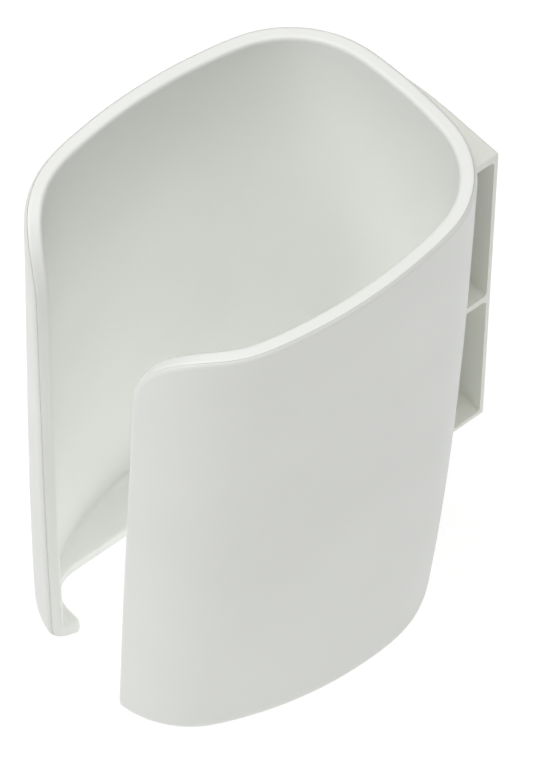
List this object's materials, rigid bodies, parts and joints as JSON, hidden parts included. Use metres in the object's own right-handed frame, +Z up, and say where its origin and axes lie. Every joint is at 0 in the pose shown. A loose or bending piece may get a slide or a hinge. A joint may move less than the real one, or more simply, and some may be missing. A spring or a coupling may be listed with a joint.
{
  "type": "urine bottle holder",
  "caption": "Open-topped moulded holder with a front slot and a floor ledge, and a stand-off bracket behind it, for hanging a urine bottle by a hospital bed.",
  "frame": {"origin": "on the floor that the holder stands on, under the middle of its overall box to within 1 mm", "axes": "+Z up, -Y towards the front slot, +Y towards the bracket; the shell is symmetric about X = 0"},
  "size_m": [0.1328, 0.1722, 0.222],
  "materials": {
    "shell": "white moulded plastic, satin, very fine grain",
    "liner": "white moulded plastic, satin, very fine grain",
    "bracket": "white moulded plastic, satin, a little greyer than the shell"
  },
  "bodies": {
    "root": {"outer_shell": "shell", "inner_liner": "liner", "rear_bracket": "bracket"}
  },
  "joints": []
}
